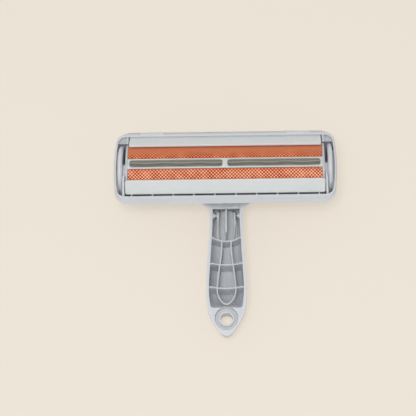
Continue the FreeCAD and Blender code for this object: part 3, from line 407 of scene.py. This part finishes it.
def between(table, place):
    """Values at a place, by straight steps between a table's rows."""
    for (p0, *v0), (p1, *v1) in zip(table, table[1:]):
        if place <= p1:
            share = max(0.0, (place - p0) / (p1 - p0))
            return [a + (b - a) * share for a, b in zip(v0, v1)]
    return list(table[-1][1:])


def rubber_place(x, t, height):
    """A point of a scraper by its place along and across the slot and its height from the drum's axis."""
    return AXIS + Vector((x, t * math.cos(REST_TILT) - height * math.sin(REST_TILT),
                          t * math.sin(REST_TILT) + height * math.cos(REST_TILT))) * MM


def rubber_height(x, t, edge):
    """Lip along the outline, then a wall down to the groove and the wavy ridge."""
    lip = math.sqrt((NAP_RADIUS + LIP_RISE) ** 2 - t * t)
    swing = RIDGE_SWING * math.sin(2 * math.pi * x / RIDGE_WAVE)
    inside = between(RUBBER_PROFILE, t + swing)[0]
    depth = min(1.0, max(0.0, (edge - LIP_WIDTH) / LIP_WALL))
    return lip + (inside - lip) * depth


def ridge_light_share(height, edge):
    """Share of the ridge's colour at a point, by its height: painted light high on the ridge, painted shade low in
    the groove; the lip has its own.
    """
    if edge <= LIP_WIDTH:
        return LIP_LIGHT_SHARE
    return min(1.0, max(0.0, (height - GROOVE_SHADE_HEIGHT) / (RIDGE_LIGHT_HEIGHT - GROOVE_SHADE_HEIGHT)))


def rubber_scraper(name, side, replaced):
    """Rubber strip in one slot of the bar, with rounded ends."""
    ends = [RUBBER_END_STEP * k for k in range(RUBBER_END_STEPS + 1)]
    middle = [ends[-1] + (1 - 2 * ends[-1]) * k / RUBBER_MIDDLE_STEPS
              for k in range(1, RUBBER_MIDDLE_STEPS)]
    shares = ends + middle + [1 - share for share in reversed(ends)]
    verts, ridge_light_shares = [], []
    for row in range(RUBBER_ROWS + 1):
        t = RUBBER_HALF_WIDTH * (2 * row / RUBBER_ROWS - 1)
        pull = corner_pull(abs(t) - (RUBBER_HALF_WIDTH - RUBBER_CORNER), RUBBER_CORNER)
        x0, x1 = RUBBER_START + pull, RUBBER_END - pull
        for share in shares:
            x = x0 + (x1 - x0) * share
            edge = min(RUBBER_HALF_WIDTH - abs(t), x - x0, x1 - x)
            height = rubber_height(x, t, edge)
            verts.append(rubber_place(side * x, t, height))
            ridge_light_shares.append(ridge_light_share(height, edge))
    mesh = row_mesh(name, verts, len(shares), side < 0, {"rise": ridge_light_shares})
    return new_piece(name, mesh, RUBBER, "drum", [replaced])


def loft(sections):
    """Closed form through sections that have as many corners each, given from the drum's axis."""
    shape = bmesh.new()
    rings = [[shape.verts.new(AXIS + Vector(corner) * MM) for corner in section] for section in sections]
    for near, far in zip(rings, rings[1:]):
        for k in range(len(near)):
            shape.faces.new((near[k - 1], near[k], far[k], far[k - 1]))
    shape.faces.new(rings[0])
    shape.faces.new(rings[-1])
    return shape


def shell_piece(name, shape, round_by):
    """Small form of the moulded housing: its faces turned outward, its sharp edges rounded."""
    bmesh.ops.recalc_face_normals(shape, faces=shape.faces)
    sharp = [edge for edge in shape.edges
             if len(edge.link_faces) == 2 and edge.calc_face_angle() > SHARP_ANGLE]
    bmesh.ops.bevel(shape, geom=sharp, offset=round_by * MM, segments=2, affect="EDGES")
    mesh = bpy.data.meshes.new(name)
    shape.to_mesh(mesh)
    shape.free()
    return new_piece(name, mesh, SHELL, "frame", [])


def spread(limits, steps):
    """Evenly spaced values from one limit to the other."""
    return [limits[0] + (limits[1] - limits[0]) * k / steps for k in range(steps + 1)]


def plate_line(s):
    """A point of the bracket's top, by its distance down the plate."""
    return (-BRACKET_TOP * math.sin(PLATE_SLOPE) - s * math.cos(PLATE_SLOPE),
            BRACKET_TOP * math.cos(PLATE_SLOPE) - s * math.sin(PLATE_SLOPE))


def near_bracket(name, side):
    """Bracket that rises from the head's rim beside the near plate: an arch over the drum's end."""
    outline = [(-ARCH_RADIUS * math.sin(angle), ARCH_RADIUS * math.cos(angle))
               for angle in spread((ARCH_TIP, ARCH_FOOT), ARCH_STEPS)]
    foot = plate_line(PLATE_REACH)
    outline += [(outline[-1][0], ARCH_BASE), (foot[0], ARCH_BASE), foot, plate_line(0.0)]
    outline.append((outline[0][0] * ARCH_NOSE, outline[0][1] * ARCH_NOSE))
    faces = [[(side * between(ARCH_FACES, -y)[face], y, z) for y, z in outline] for face in (0, 1)]
    return shell_piece(name, loft(faces), BRACKET_ROUND)


def cheek_ledge(name, side):
    """Curved ledge on a bearing cheek, which closes the slit beside the drum's near half."""
    corners = ((LEDGE_X[0], LEDGE_RADII[0]), (LEDGE_X[0], LEDGE_RADII[1]),
               (LEDGE_X[1], LEDGE_RADII[1]), (LEDGE_X[1], LEDGE_RADII[0]))
    sections = [[(side * x, -radius * math.sin(angle), radius * math.cos(angle)) for x, radius in corners]
                for angle in spread(LEDGE_ANGLES, LEDGE_STEPS)]
    return shell_piece(name, loft(sections), LEDGE_ROUND)


def end_shelf(name, side):
    """Shelf that closes the slit between a bearing cheek and the head's bowed end."""
    sections = []
    for y in spread(SHELF_Y, SHELF_STEPS):
        outer = SHELF_X[1] - y * y / (2 * END_BOW_RADIUS)
        corners = ((SHELF_X[0], SHELF_Z[0]), (outer, SHELF_Z[0]),
                   (outer, SHELF_Z[1]), (SHELF_X[0], SHELF_Z[1]))
        sections.append([(side * x, y, z) for x, z in corners])
    return shell_piece(name, loft(sections), SHELF_ROUND)


def raise_faces(shape, faces, rise, keep=False):
    """Extrudes a patch of faces straight up, and returns the faces on its top."""
    made = bmesh.ops.extrude_face_region(shape, geom=faces, use_keep_orig=keep)["geom"]
    for part in made:
        if isinstance(part, bmesh.types.BMVert):
            part.co.z += rise * MM
    return [part for part in made if isinstance(part, bmesh.types.BMFace)]


def neck_deck():
    """Deck that closes the neck beside the head's wall, with a rib down its middle and two recesses."""
    half = (DECK_RIB_HALF, *RECESS_X, DECK_HALF_WIDTH)
    columns = [-x for x in reversed(half)] + list(half)
    rows = (DECK_Y[0], *RECESS_Y, DECK_Y[1])
    under = DECK_TOP - DECK_THICKNESS
    shape = bmesh.new()
    grid = [[shape.verts.new(AXIS + Vector((x, y, under)) * MM) for x in columns] for y in rows]
    cells = [shape.faces.new((near[k], near[k + 1], far[k + 1], far[k]))
             for near, far in zip(grid, grid[1:]) for k in range(len(columns) - 1)]
    tops = raise_faces(shape, cells, DECK_THICKNESS, keep=True)
    bmesh.ops.recalc_face_normals(shape, faces=shape.faces)
    recesses, rib = [], []
    for face in tops:
        spot = (face.calc_center_median() - AXIS) / MM
        if RECESS_Y[0] < spot.y < RECESS_Y[1] and RECESS_X[0] < abs(spot.x) < RECESS_X[1]:
            recesses.append(face)
        if abs(spot.x) < DECK_RIB_HALF:
            rib.append(face)
    bmesh.ops.inset_individual(shape, faces=recesses, thickness=RECESS_DRAFT * MM, depth=-RECESS_DEPTH * MM)
    raise_faces(shape, rib, DECK_RIB_RISE)
    return shell_piece("neck_deck", shape, DECK_ROUND)


def make_floor():
    """Plain pale floor. To the camera and to gloss it shows part of its colour unlit, so that the object's
    shadow stays but is faint."""
    bpy.ops.mesh.primitive_plane_add(size=FLOOR_WIDTH)
    floor = bpy.context.object
    floor.name = "floor"
    material, tree, shader = new_material("pale_floor", Base_Color=linear("#EEE5D9"), Roughness=0.95,
                                          Specular_IOR_Level=0.1)
    ray = add(tree, "ShaderNodeLightPath")
    gloss = add(tree, "ShaderNodeMath", {0: ray.outputs["Is Camera Ray"], 1: ray.outputs["Is Glossy Ray"]},
                operation="ADD")
    seen = add(tree, "ShaderNodeMath", {0: gloss.outputs["Value"], 1: ray.outputs["Is Transmission Ray"]},
               operation="ADD", use_clamp=True)
    share = add(tree, "ShaderNodeMath", {0: seen.outputs["Value"], 1: FLOOR_UNLIT}, operation="MULTIPLY")
    plain = add(tree, "ShaderNodeEmission", {"Color": linear("#EDE3D6"), "Strength": 1.0})
    both = add(tree, "ShaderNodeMixShader", {0: share.outputs["Value"], 1: shader.outputs["BSDF"],
                                             2: plain.outputs["Emission"]})
    tree.links.new(both.outputs["Shader"], tree.nodes["Material Output"].inputs["Surface"])
    floor.data.materials.append(material)


def make_light():
    """Plain soft studio light: an even dome and one broad lamp that points at the object."""
    world = bpy.data.worlds.new("studio")
    bpy.context.scene.world = world
    world.use_nodes = True
    background = world.node_tree.nodes["Background"]
    background.inputs["Color"].default_value = linear("#F4F5F8")
    background.inputs["Strength"].default_value = DOME_STRENGTH
    data = bpy.data.lights.new("key", "AREA")
    data.shape = "DISK"
    data.size = KEY_SIZE
    data.energy = KEY_POWER
    lamp = bpy.data.objects.new("key", data)
    bpy.context.scene.collection.objects.link(lamp)
    lamp.location = KEY_PLACE
    lamp.rotation_mode = "QUATERNION"
    lamp.rotation_quaternion = (-KEY_PLACE).to_track_quat("-Z", "Y")


def make_camera():
    """Camera from the photograph's perspective, rolled and shifted as its frame is."""
    forward = Vector((math.sin(CAMERA_YAW), math.sin(CAMERA_TILT) * math.cos(CAMERA_YAW),
                      -math.cos(CAMERA_TILT) * math.cos(CAMERA_YAW)))
    right = forward.cross(Vector((0.0, math.cos(CAMERA_TILT), math.sin(CAMERA_TILT)))).normalized()
    up = right.cross(forward)
    rolled_right = right * math.cos(CAMERA_ROLL) + up * math.sin(CAMERA_ROLL)
    rolled_up = up * math.cos(CAMERA_ROLL) - right * math.sin(CAMERA_ROLL)
    data = bpy.data.cameras.new("camera")
    data.sensor_width = SENSOR
    data.lens = FOCAL_PIXELS * SENSOR / PHOTO_SIZE
    data.shift_x = (PHOTO_SIZE / 2 - CENTRE_X) / PHOTO_SIZE
    data.shift_y = (CENTRE_Y - PHOTO_SIZE / 2) / PHOTO_SIZE
    camera = bpy.data.objects.new("camera", data)
    bpy.context.scene.collection.objects.link(camera)
    turn = Matrix((rolled_right, rolled_up, -forward)).transposed()
    camera.matrix_world = Matrix.Translation(CAMERA_PLACE) @ turn.to_4x4()
    bpy.context.scene.camera = camera


finish_cad_nodes()
nap_strip("nap_fabric_far", 1, NAP_FAR, "nap_strip_far")
nap_strip("nap_fabric_near", -1, NAP_NEAR, "nap_strip_near")
for hand, side in (("left", -1), ("right", 1)):
    rubber_scraper("rubber_scraper_" + hand, side, "rubber_blade_" + hand)
    near_bracket("near_bracket_" + hand, side)
    cheek_ledge("cheek_ledge_" + hand, side)
    end_shelf("end_shelf_" + hand, side)
neck_deck()
make_floor()
make_light()
make_camera()
bpy.context.scene.view_settings.view_transform = "Standard"
